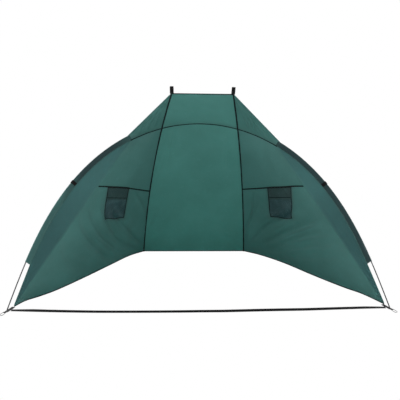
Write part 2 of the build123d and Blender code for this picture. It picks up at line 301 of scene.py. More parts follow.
def noise(nt, scale, detail=4, rough=0.6):
    """Value of a noise over the object's own space."""
    coord = node(nt, "TexCoord")
    tex = node(nt, "TexNoise")
    tex.inputs["Scale"].default_value = scale
    tex.inputs["Detail"].default_value = detail
    tex.inputs["Roughness"].default_value = rough
    nt.links.new(coord.outputs["Object"], tex.inputs["Vector"])
    return tex.outputs["Fac"]


def ramp(nt, fac, low, high, at=(0.35, 0.65)):
    r = node(nt, "ValToRGB")
    r.color_ramp.elements[0].position, r.color_ramp.elements[1].position = at
    r.color_ramp.elements[0].color, r.color_ramp.elements[1].color = low, high
    nt.links.new(fac, r.inputs[0])
    return r.outputs[0]


def blend_colour(nt, fac, a, b, kind="MIX"):
    m = node(nt, "Mix")
    m.data_type, m.blend_type = "RGBA", kind
    if isinstance(fac, float):
        m.inputs[0].default_value = fac
    else:
        nt.links.new(fac, m.inputs[0])
    for k, value in ((6, a), (7, b)):
        if isinstance(value, tuple):
            m.inputs[k].default_value = value
        else:
            nt.links.new(value, m.inputs[k])
    return m.outputs[2]


def bump(nt, height, distance, strength, under=None):
    b = node(nt, "Bump")
    b.inputs["Strength"].default_value = strength
    b.inputs["Distance"].default_value = distance
    nt.links.new(height, b.inputs["Height"])
    if under is not None:
        nt.links.new(under, b.inputs["Normal"])
    return b.outputs[0]


def weave(nt, pitch):
    """Plain weave from two crossed waves over the cloth's own metres."""
    uv = node(nt, "UVMap")
    uv.uv_map = "Cloth"
    total = node(nt, "Math")
    total.operation = "MULTIPLY_ADD"
    total.inputs[1].default_value = 0.5
    for k, direction in ((0, "X"), (2, "Y")):
        wave = node(nt, "TexWave")
        wave.bands_direction = direction
        wave.inputs["Scale"].default_value = WAVE_BAND / pitch
        wave.inputs["Distortion"].default_value = 0.6
        wave.inputs["Detail Scale"].default_value = 4
        nt.links.new(uv.outputs[0], wave.inputs["Vector"])
        nt.links.new(wave.outputs["Fac"], total.inputs[k])
    return total.outputs[0]


def cloth_material(name, low, high, through=0.45, roughness=0.5, sheen=0.2, pitch=0.0009, depth=0.0002,
                   crumple=0.004, specular=0.3, shade=None, band=None):
    """Woven cloth: through is the share of light let through, pitch and depth are the weave's; shade and band
    paint shade into its colour.
    """
    mat, nt, bsdf, out = new_material(name)
    colour = ramp(nt, noise(nt, 2.3, 6, 0.6), low, high)
    threads = weave(nt, pitch)
    dark = tuple(c * 0.82 for c in low[:3]) + (1,)
    mask = node(nt, "Math")
    mask.operation, mask.use_clamp = "MULTIPLY", True
    mask.inputs[1].default_value = 0.16
    nt.links.new(threads, mask.inputs[0])
    colour = blend_colour(nt, mask.outputs[0], colour, dark)
    # slubs and rubbed places, a little lighter
    worn = ramp(nt, noise(nt, 38, 3, 0.7), BLACK, (0.22, 0.22, 0.22, 1), (0.58, 0.8))
    light = tuple(min(1, c * 1.35 + 0.01) for c in high[:3]) + (1,)
    colour = blend_colour(nt, worn, colour, light)
    if shade:
        # painted shade: darker along parts of its length, where the cloth lies in shadow; shade is (x, 0 or 1)
        # stops and the dark colour
        split = node(nt, "SeparateXYZ")
        coord = node(nt, "TexCoord")
        nt.links.new(coord.outputs["Object"], split.inputs[0])
        part = node(nt, "MapRange")
        part.inputs["From Min"].default_value, part.inputs["From Max"].default_value = -HALF_SPAN, HALF_SPAN
        nt.links.new(split.outputs[0], part.inputs["Value"])
        stops = ramp(nt, part.outputs[0], BLACK, WHITE, (0.0, 1.0))
        for x, value in shade[0]:
            stop = stops.node.color_ramp.elements.new((x + HALF_SPAN) / 2 / HALF_SPAN)
            stop.color = (value, value, value, 1)
        colour = blend_colour(nt, stops, colour, shade[1])
    if band:
        # painted shade: beyond the fold the cloth faces the ground behind it, so its colour is tinted darker
        # and bluer, most towards the ground
        split = node(nt, "SeparateXYZ")
        uv = node(nt, "UVMap")
        uv.uv_map = "Cloth"
        nt.links.new(uv.outputs[0], split.inputs[0])
        beyond = ramp(nt, split.outputs[0], BLACK, WHITE, (band - 0.004, band + 0.012))
        band_shade_tint = ramp(nt, split.outputs[1], (0.58, 0.67, 0.72, 1), (0.85, 0.92, 0.97, 1), (0.50, 1.18))
        band_shaded = blend_colour(nt, 1.0, colour, band_shade_tint, "MULTIPLY")
        colour = blend_colour(nt, beyond, colour, band_shaded)
    nt.links.new(colour, bsdf.inputs["Base Color"])
    bsdf.inputs["Roughness"].default_value = roughness
    bsdf.inputs["Sheen Weight"].default_value = sheen
    bsdf.inputs["Sheen Roughness"].default_value = 0.4
    bsdf.inputs["Specular IOR Level"].default_value = specular
    normal = bump(nt, threads, depth, 0.35)
    if crumple:
        normal = bump(nt, noise(nt, 6.5, 5, 0.5), crumple, 0.6, normal)
    nt.links.new(normal, bsdf.inputs["Normal"])
    if through:
        glow = node(nt, "BsdfTranslucent")
        nt.links.new(colour, glow.inputs["Color"])
        nt.links.new(normal, glow.inputs["Normal"])
        both = node(nt, "MixShader")
        both.inputs[0].default_value = through
        nt.links.new(bsdf.outputs[0], both.inputs[1])
        nt.links.new(glow.outputs[0], both.inputs[2])
        nt.links.new(both.outputs[0], out.inputs[0])
    return mat


def hard_material(name, low, high, roughness, metallic=0.0, scale=40, depth=0.0002):
    mat, nt, bsdf, _ = new_material(name)
    colour = ramp(nt, noise(nt, scale), low, high)
    nt.links.new(colour, bsdf.inputs["Base Color"])
    rough = node(nt, "MapRange")
    rough.inputs["To Min"].default_value = roughness - 0.08
    rough.inputs["To Max"].default_value = roughness + 0.12
    nt.links.new(noise(nt, scale * 2, 3), rough.inputs["Value"])
    nt.links.new(rough.outputs[0], bsdf.inputs["Roughness"])
    bsdf.inputs["Metallic"].default_value = metallic
    nt.links.new(bump(nt, noise(nt, 400), depth, 0.3), bsdf.inputs["Normal"])
    return mat


def film_material():
    """Dark opaque mesh: its own dark colour together with painted shade of the closed flap behind it, bluish
    below the cross seam, browner above, with cloudy lighter patches as painted highlights.
    """
    mat, nt, bsdf, _ = new_material("window mesh")
    uv = node(nt, "UVMap")
    uv.uv_map = "Cloth"
    split = node(nt, "SeparateXYZ")
    nt.links.new(uv.outputs[0], split.inputs[0])
    upper = ramp(nt, split.outputs[1], BLACK, WHITE, (CROSS_SEAM - 0.002, CROSS_SEAM + 0.002))
    below = ramp(nt, noise(nt, 16, 5, 0.7), srgb(38, 74, 78), srgb(76, 110, 114), (0.45, 0.78))
    above = ramp(nt, noise(nt, 14, 5, 0.7), srgb(38, 67, 67), srgb(65, 94, 93), (0.5, 0.8))
    colour = blend_colour(nt, upper, below, above)
    net = weave(nt, 0.0014)
    holes = ramp(nt, net, WHITE, (0.55, 0.55, 0.55, 1), (0.2, 0.9))
    colour = blend_colour(nt, 1.0, colour, holes, "MULTIPLY")
    nt.links.new(colour, bsdf.inputs["Base Color"])
    bsdf.inputs["Roughness"].default_value = 0.38
    bsdf.inputs["Specular IOR Level"].default_value = 0.4
    normal = bump(nt, noise(nt, 22, 4, 0.6), 0.004, 0.5, bump(nt, net, 0.0003, 0.5))
    nt.links.new(normal, bsdf.inputs["Normal"])
    return mat


# Wings, gussets and window flaps are of the same cloth as the shell; their darker colours here are painted
# shade.
SHELL_LOW, SHELL_HIGH = srgb(81, 134, 128), srgb(89, 144, 138)
WING_LOW, WING_HIGH = srgb(77, 121, 117), srgb(85, 131, 127)
SHELL = cloth_material("shell cloth", SHELL_LOW, SHELL_HIGH)
GUSSET = cloth_material("gusset cloth", srgb(72, 119, 114), srgb(80, 129, 124))
# Arch sleeve: the shell's cloth set darker as painted shade of the double layer round the pole, with painted
# shadow darker still along the stretches given below
SLEEVE_SHADE = ((-1.02, 0), (-0.86, 1), (-0.62, 1), (-0.44, 0), (0.46, 0), (0.62, 1))
SLEEVE = cloth_material("sleeve cloth", srgb(50, 92, 90), srgb(58, 102, 98), through=0.12, sheen=0.05,
                        shade=(SLEEVE_SHADE, srgb(30, 56, 58)))
TAPE = cloth_material("seam tape", srgb(50, 92, 88), srgb(58, 102, 97), through=0.1, sheen=0.05,
                      pitch=0.0012, crumple=0.001)
BINDING = cloth_material("dark binding", srgb(13, 22, 24), srgb(20, 31, 33), through=0, roughness=0.8,
                         sheen=0.0, specular=0.15, pitch=0.0012, depth=0.0003, crumple=0.001)
WEBBING = cloth_material("black webbing", srgb(10, 10, 11), srgb(18, 18, 19), through=0, roughness=0.8,
                         sheen=0.0, specular=0.15, pitch=0.0022, depth=0.0006, crumple=0.0008)
# the flap takes the wing's darker colours, painted shade on the shell's cloth
FLAP = cloth_material("window flap", WING_LOW, WING_HIGH, through=0.4)
THREAD = cloth_material("sewing thread", srgb(30, 52, 50), srgb(44, 72, 68), through=0, crumple=0, pitch=0.0006)
FILM = film_material()
POLE = hard_material("glass-fibre rod", srgb(28, 29, 31), srgb(44, 45, 47), roughness=0.42, scale=60)
RUBBER = hard_material("black foot", srgb(14, 14, 15), srgb(26, 26, 28), roughness=0.65, depth=0.0004)
STEEL = hard_material("dull steel", srgb(28, 27, 29), srgb(44, 43, 45), roughness=0.5, metallic=0.3)


# Meshes
def add_object(name, data):
    obj = bpy.data.objects.new(name, data)
    bpy.context.scene.collection.objects.link(obj)
    return obj


def make_object(name, verts, faces, material, smooth=True, uvs=None):
    verts = np.asarray(verts, float)
    mesh = bpy.data.meshes.new(name)
    mesh.from_pydata(verts.tolist(), [], [list(map(int, f)) for f in faces])
    layer = mesh.uv_layers.new(name="Cloth")
    if uvs is None:
        uvs = verts[:, [0, 2]]
    index = np.zeros(len(mesh.loops), np.int32)
    mesh.loops.foreach_get("vertex_index", index)
    layer.data.foreach_set("uv", np.asarray(uvs, float)[index].ravel())
    if smooth:
        mesh.polygons.foreach_set("use_smooth", [True] * len(mesh.polygons))
    mesh.materials.append(material)
    return add_object(name, mesh)


def grid_faces(n, m, wrap=False, start=0):
    i, j = np.meshgrid(np.arange(n - 1), np.arange(m if wrap else m - 1), indexing="ij")
    i, j = i.ravel(), j.ravel()
    k = (j + 1) % m
    return (np.stack([i * m + j, (i + 1) * m + j, (i + 1) * m + k, i * m + k], -1) + start).tolist()


def lengths(p):
    """Cloth metres across and along a grid, for its weave."""
    a = np.linalg.norm(np.diff(p, axis=0), axis=-1).mean(1)
    b = np.linalg.norm(np.diff(p, axis=1), axis=-1).mean(0)
    u = np.concatenate([[0], np.cumsum(a)])
    v = np.concatenate([[0], np.cumsum(b)])
    return np.stack(np.meshgrid(u, v, indexing="ij"), -1).reshape(-1, 2)


def area_of(p):
    a, b = p[1:, 1:] - p[:-1, :-1], p[1:, :-1] - p[:-1, 1:]
    return float(np.linalg.norm(np.cross(a, b), axis=-1).sum() / 2)


def piece(obj, slot, *nodes):
    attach(obj, "root")
    if nodes:
        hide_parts(*nodes)
    return obj


def thicken(obj, thick):
    solid = obj.modifiers.new("thickness", "SOLIDIFY")
    solid.thickness, solid.offset = thick, 0.0
    return obj


def cloth_object(name, p, material, thick=CLOTH_T):
    obj = make_object(name, p.reshape(-1, 3), grid_faces(*p.shape[:2]), material, uvs=lengths(p))
    return thicken(obj, thick)


def frames_along(points):
    t = unit(np.gradient(points, axis=0))
    side = np.cross(t[0], UP)
    if np.linalg.norm(side) < 0.1:
        side = np.cross(t[0], [0, 1.0, 0])
    sides = []
    for d in t:
        side = unit(side - d * (side @ d))
        sides.append(side)
    sides = np.array(sides)
    return t, sides, np.cross(t, sides)


def sweep(points, section, ups=None):
    """Closed bar: section is (k, 2) across and up, ups the up direction, one or one a point."""
    points = np.asarray(points, float)
    t, a, b = frames_along(points)
    if ups is not None:
        ups = np.broadcast_to(ups, points.shape)
        b = unit(ups - t * (ups * t).sum(1, keepdims=True))
        a = np.cross(b, t)
    section = np.asarray(section, float)
    k = len(section)
    verts = points[:, None] + a[:, None] * section[None, :, :1] + b[:, None] * section[None, :, 1:]
    n = len(points)
    faces = grid_faces(n, k, wrap=True) + [list(range(k))[::-1], [(n - 1) * k + i for i in range(k)]]
    s = np.concatenate([[0], np.cumsum(np.linalg.norm(np.diff(points, axis=0), axis=1))])
    around = np.concatenate([[0], np.cumsum(np.linalg.norm(np.diff(section, axis=0), axis=1))])
    uvs = np.stack(np.broadcast_arrays(s[:, None], around[None]), -1).reshape(-1, 2)
    return verts.reshape(-1, 3), faces, uvs


def circle(radius, around):
    ang = np.linspace(0, 2 * np.pi, around, endpoint=False)
    return np.stack([radius * np.cos(ang), radius * np.sin(ang)], -1)


def strip(width, thick, steps=6):
    x = np.linspace(-width / 2, width / 2, steps)
    top = np.stack([x, np.full(steps, thick / 2)], -1)
    return np.vstack([top, top[::-1] * [1, -1]])


def bar_object(name, points, section, material, ups=None):
    verts, faces, uvs = sweep(points, section, ups)
    return make_object(name, verts, faces, material, uvs=uvs)


def bound(name, line, size, material, *nodes):
    """Round bound edge on a line: size 1 is the part's own hem."""
    return piece(bar_object(name, line, circle(HEM_R * size, 10), material), "binding", *nodes)


def joined(name, parts, material):
    """One mesh out of several (verts, faces, uvs)."""
    verts, faces, uvs, base = [], [], [], 0
    for v, f, t in parts:
        verts.append(v)
        uvs.append(t)
        faces += [[i + base for i in face] for face in f]
        base += len(v)
    return make_object(name, np.vstack(verts), faces, material, uvs=np.vstack(uvs)[:, :2])


def along_path(points, step):
    """Even places on a path, with their directions."""
    points = np.asarray(points, float)
    s = np.concatenate([[0], np.cumsum(np.linalg.norm(np.diff(points, axis=0), axis=1))])
    at = np.arange(step, s[-1] - step, step)
    place = np.stack([np.interp(at, s, points[:, k]) for k in range(3)], -1)
    return place, unit(np.gradient(place, axis=0)), at / s[-1]


def stitch_row(points, ups, step=0.0048, length=0.0032):
    """Run of short raised stitches on a path, 0.8 mm wide and 0.5 mm high."""
    place, run, share = along_path(points, step)
    ups = np.asarray(ups, float)
    if ups.ndim > 1:
        t = np.linspace(0, 1, len(ups))
        ups = np.stack([np.interp(share, t, ups[:, k]) for k in range(3)], -1)
    ups = np.broadcast_to(ups, place.shape)
    up = unit(ups - run * (ups * run).sum(1, keepdims=True))
    side = np.cross(run, up)
    cage = np.array([(-1, 0, 0), (0, 1, 0), (1, 0, 0), (0, -1, 0), (0, 0, 1)])
    shape = cage * [length / 2, 0.0004, 0.0005]
    verts = (place[:, None] + run[:, None] * shape[None, :, :1] + side[:, None] * shape[None, :, 1:2]
             + up[:, None] * shape[None, :, 2:])
    faces = []
    one = [(0, 1, 4), (1, 2, 4), (2, 3, 4), (3, 0, 4), (3, 2, 1, 0)]
    for k in range(len(place)):
        faces += [[5 * k + i for i in f] for f in one]
    return verts.reshape(-1, 3), faces, verts.reshape(-1, 3)[:, [0, 2]]


# The window's own directions: x across to the front, y up, z into the shelter
WIN_X = unit(WINDOW_ACROSS)
WIN_Z = unit(np.cross(WINDOW_ACROSS, WINDOW_RISE))
WIN_Y = np.cross(WIN_Z, WIN_X)
SKEW = float(unit(WINDOW_RISE) @ WIN_X)


def window_point(a, b, side):
    return (WINDOW_MID + WIN_X * (a + SKEW * b) + WIN_Y * b) * FLIP[side]


def cut_window(bm, side):
    """Opens the window: four cuts square through the cloth, then the faces inside go."""
    inward = WIN_Z * FLIP[side]
    w, h = WINDOW_W / 2, WINDOW_H / 2
    corners = [window_point(a, b, side) for a, b in ((-w, -h), (w, -h), (w, h), (-w, h))]
    middle = window_point(0, 0, side)
    cuts = []
    for a, b in zip(corners, corners[1:] + corners[:1]):
        n = unit(np.cross(b - a, inward))
        cuts.append((a, n if (middle - a) @ n < 0 else -n))
    reach = max(WINDOW_W, WINDOW_H)
    for a, n in cuts:
        near = [f for f in bm.faces if (f.calc_center_median() - Vector(middle)).length < reach]
        geom = list({v for f in near for v in f.verts}) + list({e for f in near for e in f.edges}) + near
        bmesh.ops.bisect_plane(bm, geom=geom, plane_co=Vector(a), plane_no=Vector(n), dist=1e-6)
    gone = []
    for f in bm.faces:
        c = np.array(f.calc_center_median())
        if np.linalg.norm(c - middle) < reach and all((c - a) @ n < 0 for a, n in cuts):
            gone.append(f)
    bmesh.ops.delete(bm, geom=gone, context="FACES")


class OnWing:
    """Finds the wing's surface at a point of the window's own plane."""

    def __init__(self, p, side):
        self.side, self.inward = side, WIN_Z * FLIP[side]
        self.tree = BVHTree.FromPolygons(p.reshape(-1, 3).tolist(), grid_faces(*p.shape[:2]))

    def at(self, a, b, lift):
        start = window_point(a, b, self.side) + self.inward * 0.25
        hit, _, _, _ = self.tree.ray_cast(Vector(start), Vector(-self.inward), 0.6)
        return None if hit is None else np.array(hit) + self.inward * lift

    def patch(self, half_w, half_h, lift):
        """Grid over a window-shaped part of the wing."""
        across, rise = np.linspace(-half_w, half_w, 33), np.linspace(-half_h, half_h, 37)
        return np.array([[self.at(a, b, lift) for b in rise] for a in across])

    def run(self, half, lift, ups):
        """Line across the wing through four heights, from the upright to the fold."""
        places = np.arange(-half, half, 0.006)
        heights = np.interp(places, (-0.40, -0.10, 0.16, 0.40), ups)
        found = [self.at(a, b, lift) for a, b in zip(places, heights)]
        return np.array([p for p in found if p is not None])


def rim(on, half_w, half_h, lift, section):
    """Bars and stitches along the four sides of a rectangle on the wing."""
    corners = [(-half_w, -half_h), (half_w, -half_h), (half_w, half_h), (-half_w, half_h)]
    bars, seams = [], []
    out = on.inward * math.copysign(1.0, lift)
    for (a0, b0), (a1, b1) in zip(corners, corners[1:] + corners[:1]):
        ts = np.linspace(-0.01, 1.01, 30)
        line = np.array([on.at(a0 + (a1 - a0) * t, b0 + (b1 - b0) * t, lift) for t in ts])
        bars.append(sweep(line, section, out))
        seams.append(stitch_row(line + out * 0.0007, out, 0.004, 0.0026))
    return bars, seams


# Wings: one cloth each, drawn tight to the fold, with a band from the fold to the arch
NU, NV, NB = ((113, 129, 25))
ALONG_U, ALONG_V = np.linspace(0, 1, NU), np.linspace(0, 1, NV)

# Folds of the drawn cloth, from the back corner outwards: places as (u, v), height, half width
WING_FOLDS = {-1: [
    ([(0.30, 0.02), (0.42, 0.11), (0.58, 0.23), (0.77, 0.36), (0.97, 0.50)], 0.025, 0.035),
    ([(0.04, 0.03), (0.12, 0.06), (0.33, 0.20), (0.48, 0.34), (0.78, 0.59)], 0.022, 0.029),
    ([(0.02, 0.05), (0.12, 0.14), (0.27, 0.28), (0.47, 0.42)], 0.018, 0.023),
    ([(0.01, 0.12), (0.02, 0.25), (0.08, 0.39), (0.23, 0.53)], 0.013, 0.021),
    ([(0.46, 0.01), (0.52, 0.04), (0.67, 0.11), (0.81, 0.20), (0.97, 0.34)], 0.018, 0.035),
    ([(0.10, 0.02), (0.33, 0.15), (0.52, 0.28), (0.73, 0.43), (0.92, 0.56)], 0.016, 0.025),
    ([(0.05, 0.01), (0.22, 0.06), (0.42, 0.20), (0.62, 0.33)], 0.012, 0.018),
], 1: [
    ([(0.03, 0.03), (0.20, 0.13), (0.42, 0.28), (0.70, 0.42), (0.95, 0.52)], 0.025, 0.029),
    ([(0.06, 0.03), (0.25, 0.11), (0.45, 0.23), (0.72, 0.36), (0.96, 0.43)], 0.021, 0.027),
    ([(0.02, 0.05), (0.05, 0.16), (0.08, 0.27), (0.20, 0.47)], 0.018, 0.021),
    ([(0.02, 0.16), (0.11, 0.38), (0.14, 0.50)], 0.012, 0.017),
    ([(0.04, 0.05), (0.12, 0.16), (0.20, 0.25), (0.33, 0.36)], 0.017, 0.021),
    ([(0.10, 0.03), (0.30, 0.10), (0.50, 0.20), (0.91, 0.36)], 0.018, 0.029),
    ([(0.20, 0.22), (0.36, 0.34), (0.69, 0.54)], 0.016, 0.031),
    ([(0.20, 0.02), (0.47, 0.12), (0.70, 0.20), (0.95, 0.27)], 0.013, 0.031),
]}
WING_SEED = {-1: 11, 1: 23}


def wing_grids(side):
    """The drawn part of a wing, from the upright to the fold, and its band beyond the fold."""
    seed, fold = WING_SEED[side], fold_line(ALONG_V, side)
    top = seam(CROSS + (KINKS[side] - CROSS) * ALONG_U)
    p = coons(hem_line(ALONG_U, side), top, low_upright(ALONG_V), fold)
    p = belly(taut(p), -WING_BELLY)
    p = ripple(p, seed, 0.0022, 1.6)
    p = add_folds(p, WING_FOLDS[side])
    p = puckers(p, "v0", 26, -0.0022, 0.05, seed)
    p = puckers(p, "u0", 18, -0.0018, 0.05, seed + 1)
    across = np.linspace(0, 1, NB)[:, None, None]
    band = fold[None] * (1 - across) + outer_edge(ALONG_V, side)[None] * across
    band = ripple(band, seed + 2, 0.0015, 2.0, (0.6, 3.0))
    return p * FLIP[side], band * FLIP[side]


def wing_object(name, inner, band, side):
    p = np.concatenate([inner, band[1:]])
    fold_u = lengths(inner)[:, 0].max()
    # painted shade: the wing's darker colours, and its band beyond the fold tinted darker
    cloth = cloth_material(name.replace("_", " "), WING_LOW, WING_HIGH, band=fold_u)
    obj = make_object(name, p.reshape(-1, 3), grid_faces(*p.shape[:2]), cloth, uvs=lengths(p))
    bm = bmesh.new()
    bm.from_mesh(obj.data)
    bmesh.ops.remove_doubles(bm, verts=bm.verts[:], dist=1e-5)
    cut_window(bm, side)
    bm.to_mesh(obj.data)
    bm.free()
    obj.data.polygons.foreach_set("use_smooth", [True] * len(obj.data.polygons))
    return thicken(obj, CLOTH_T)


# Heights of the seam past the window, above the window's middle
LONG_SEAM = {-1: (0.113, 0.140, 0.141, 0.146), 1: (0.134, 0.140, 0.141, 0.134)}
stitches, black_stitches = [], []
for side, word in SIDES:
    flip = FLIP[side]
    inner, band = wing_grids(side)
    wing = piece(wing_object(word + "_wing_cloth", inner, band, side), "shell_cloth", word + "_wing")

    # Window: mesh in the opening, a narrow bound edge, a flap behind and the long seam above
    on = OnWing(inner, side)
    inward = on.inward
    hw, hh, lap = WINDOW_W / 2, WINDOW_H / 2, 0.004
    net = cloth_object(word + "_window_net", on.patch(hw + lap, hh + lap, 0.0009), FILM, 0.0005)
    net = piece(net, "window_mesh", word + "_window_film")
    cover = on.patch(hw + COVER_OVER, hh + COVER_OVER, -0.0024)
    cover = ripple(cover, 5 + side, 0.0012, 1.5, fade=0.1)
    cover = cloth_object(word + "_window_cover", cover, FLAP, 0.0006)
    cover = piece(cover, "shell_cloth", word + "_window_flap")
    hem_w = 0.010
    cover_rim = COVER_OVER - hem_w / 2
    edges, seams = rim(on, hw + cover_rim, hh + cover_rim, -0.0040, strip(hem_w, 0.0012))
    stitches += seams
    piece(joined(word + "_cover_edge", edges, TAPE), "binding")
    edges, seams = rim(on, hw, hh, 0.0016, strip(0.005, 0.0012))
    stitches += seams
    line = np.array([on.at(a, CROSS_SEAM - hh, 0.0019) for a in np.linspace(-hw, hw, 30)])
    edges.append(sweep(line, strip(0.004, 0.0012), inward))
    piece(joined(word + "_window_edge", edges, BINDING), "binding")
    line = on.run(0.45, 0.0016, LONG_SEAM[side])
    bar = bar_object(word + "_long_seam", line, strip(0.011, 0.0018), BINDING, inward)
    piece(bar, "binding", word + "_window_seam")
    for off in (-0.0035, 0.0035):
        line = on.run(0.44, 0.0026, [b + off for b in LONG_SEAM[side]])
        stitches.append(stitch_row(line, inward))

    # Bound edges of the wing: along the arch, under it and down to the corner
    line = seam(np.linspace(KINKS[side] - 0.01, MOUTH, 220)) * flip
    bound(word + "_arch_binding", line, 1, TAPE, word + "_arch_seam")
    line = seam(np.linspace(CROSS, KINKS[side], 60)) * flip
    bound(word + "_gusset_seam", line, 1.5, BINDING)
    line = hem_line(np.linspace(0, 0.995, 160), side) * flip + [0, 0, 0.0016]
    bound(word + "_bottom_binding", line, 1.6, BINDING, word + "_wing_hem")
    line = mix(MOUTH_AT, CORNERS[side], np.linspace(0.005, 0.965, 40)) * flip
    bound(word + "_front_binding", line, 1, TAPE, word + "_front_hem")

    # Stitches in the wing beside its hem and its upright
    places = np.linspace(0.03, 0.95, 150)
    facing = normals(inner)[:, 2] * side
    facing = np.stack([np.interp(places, ALONG_U, facing[:, k]) for k in range(3)], -1)
    row = sample(inner, np.stack([places, np.full(150, 0.010)], -1))
    stitches.append(stitch_row(row + facing * 0.0004, facing))
    row = sample(inner, np.stack([np.full(150, 0.012), places], -1))
    stitches.append(stitch_row(row + inward * 0.0006, inward))

# Back panel and hood
low, high = low_upright(ALONG_V), high_upright(ALONG_V)
ridge = seam(CROSS * (2 * ALONG_U - 1))
ground = mix(upright(LOW) * MIRROR, upright(LOW), ALONG_U)
back = belly(taut(coons(ground, ridge, low * MIRROR, low)), -BACK_BELLY)
back = ripple(back, 31, 0.0022, 1.3, (1.4, 0.9))
back = add_folds(back, [
    ([(0.04, 0.55), (0.10, 0.72), (0.17, 0.97)], 0.006, 0.022),
    ([(0.16, 0.70), (0.165, 0.85), (0.17, 0.99)], 0.005, 0.012),
    ([(0.84, 0.66), (0.86, 0.85), (0.88, 0.99)], 0.004, 0.014),
    ([(0.02, 0.05), (0.12, 0.12), (0.30, 0.16)], 0.006, 0.020),
    ([(0.98, 0.05), (0.90, 0.12), (0.74, 0.17)], 0.006, 0.020),
    ([(0.02, 0.10), (0.10, 0.28), (0.16, 0.46)], 0.005, 0.020),
])
back = puckers(puckers(back, "v1", 22, -0.0020, 0.05, 41), "v0", 16, -0.0016, 0.05, 42)
cloth = piece(cloth_object("back_cloth", back, SHELL), "shell_cloth", "back_panel")
top_line = mix(upright(HOOD_TOP) * MIRROR, upright(HOOD_TOP), ALONG_U)
hood = belly(taut(coons(ridge, top_line, high * MIRROR, high)), -HOOD_BELLY)
hood = ripple(hood, 37, 0.0016, 1.4, (0.8, 1.8))
hood = puckers(hood, "v0", 16, -0.0016, 0.12, 43)
cloth = piece(cloth_object("hood_cloth", hood, SHELL), "shell_cloth", "hood_panel")

# Gussets, drawn into long wrinkles between the tip and the kink
GUSSET_FOLDS = {-1: [
    ([(0.30, 0.04), (0.40, 0.4), (0.5, 0.9)], 0.006, 0.014),
    ([(0.55, 0.05), (0.62, 0.4), (0.66, 0.9)], 0.006, 0.012),
    ([(0.80, 0.02), (0.82, 0.35), (0.80, 0.85)], 0.006, 0.011),
], 1: [
    ([(0.35, 0.06), (0.38, 0.4), (0.42, 0.95)], 0.010, 0.012),
    ([(0.55, 0.03), (0.56, 0.4), (0.58, 0.95)], 0.009, 0.011),
    ([(0.72, 0.02), (0.74, 0.4), (0.72, 0.95)], 0.010, 0.011),
    ([(0.88, 0.02), (0.88, 0.4), (0.85, 0.9)], 0.007, 0.009),
]}
GUSSET_LONG, GUSSET_MEAN = 0.60, 0.50  # length of the cut piece, which tapers
for side, word in SIDES:
    flip = FLIP[side]
    share = KINKS[side]
    # its outer edge: from the seam over the sleeve, then straight to the tip
    over = arch(share, -0.006)
    bend = [seam(share), over, mix(over, TIP, 0.985)]
    brow = np.stack([np.interp(ALONG_V, (0, 0.09, 1), [q[k] for q in bend]) for k in range(3)], -1)
    g = coons(seam(CROSS + (share - CROSS) * ALONG_U), mix(upright(HOOD_TOP), brow[-1], ALONG_U), high, brow)
    g = add_folds(belly(taut(g), -0.003), GUSSET_FOLDS[side], 0.5) * flip
    cloth = piece(cloth_object(word + "_gusset_cloth", g, GUSSET), "shell_cloth", word + "_hood_gusset")
    wide = round(area_of(g) / GUSSET_MEAN, 3)
    line = mix(over, bend[2], np.linspace(0, 1, 60)) * flip
    bound(word + "_brow_binding", line, 1, TAPE, word + "_gusset_hem")

# Uprights: rods and the dark piping sleeves over them
for side, word in SIDES:
    flip = FLIP[side]
    line = upright(np.linspace(0.003, 1.006, 80)) * flip
    rod = bar_object(word + "_upright_rod", line, circle(UPRIGHT_R, 14), POLE)
    piece(rod, "pole", word + "_upright_pole")
    line = upright(np.linspace(0.016, 0.997, 260)) * flip
    uneven = 1 + 0.05 * wander(np.random.default_rng(50 + side), 260, 60)
    verts, faces, uvs = sweep(line, circle(PIPING_R, 12))
    centre = np.repeat(line, 12, 0)
    verts = centre + (verts - centre) * np.repeat(uneven, 12)[:, None]
    piping = make_object(word + "_upright_piping", verts, faces, BINDING, uvs=uvs)
    piece(piping, "binding", word + "_upright_sleeve")
bound("centre_binding", seam(np.linspace(-CROSS, CROSS, 80)), 1.6, BINDING, "centre_arch_seam")
bound("top_binding", top_line, 1.4, BINDING, "top_hem")
bound("back_binding", ground, 1, BINDING, "back_hem")


def round_loop(half, count):
    """Path round the arch pole from its outer half, (inset, lift) points that end on the middle line."""
    return smooth_path(half + [(a, -b) for a, b in half[-2::-1]], count)


# Arch pole in its sleeve: a flat tube from the bound seam round the rod, with slanting mouths
line = arch(np.linspace(-0.9985, 0.9985, 320))
piece(bar_object("arch_rod", line, circle(POLE_R, 16), POLE), "pole", "arch_pole")
WEB = 0.034  # of the sleeve, between the pole and the seam
half = [(WEB, 0.0006), (0.024, 0.0024), (0.010, 0.0048), (0.0, 0.0058), (-0.0043, 0.0043), (-0.0060, 0.0)]
stations = np.linspace(-1, 1, 420)
r = np.random.default_rng(61)
gather, sway = wander(r, len(stations), 90), wander(r, len(stations), 34)
rows = []
for inset, lift in round_loop(half, 34):
    free = math.sin(math.pi * min(max(inset / WEB, 0), 1))
    reach = MOUTH - 0.004 * (1 - min(max(inset / SEAM_DROP, 0), 1))
    rows.append(arch(stations * reach, inset, lift * (1 + 0.10 * gather * free) + 0.0022 * free * sway))
sleeve = np.stack(rows, 1)
obj = make_object("arch_sleeve_cloth", sleeve.reshape(-1, 3), grid_faces(*sleeve.shape[:2], wrap=True), SLEEVE,
                  uvs=lengths(sleeve))
piece(thicken(obj, CLOTH_T), "shell_cloth", "arch_sleeve")
off_arch = arch(0.0, 0.0, 1.0) - arch(0.0)
for inset, lift in ((0.0295, -0.0026), (SEAM_DROP + 0.005, -0.001)):
    stitches.append(stitch_row(arch(np.linspace(-MOUTH, MOUTH, 500), inset, lift), -off_arch))

# Webbing: front strap, arch tabs, corner tabs and tip pockets
x = np.linspace(-STRAP_END, STRAP_END, 240)
r = np.random.default_rng(71)
lift = np.abs(wander(r, 240, 14)) * 0.0006
sway = wander(r, 240, 9) * 0.0022 * np.cos(np.pi * x / 2.7)
slack = STRAP_SLACK * np.cos(np.pi * np.clip((x + 0.15) / 2.95, -0.5, 0.5)) * (1 - (x / STRAP_END) ** 8)
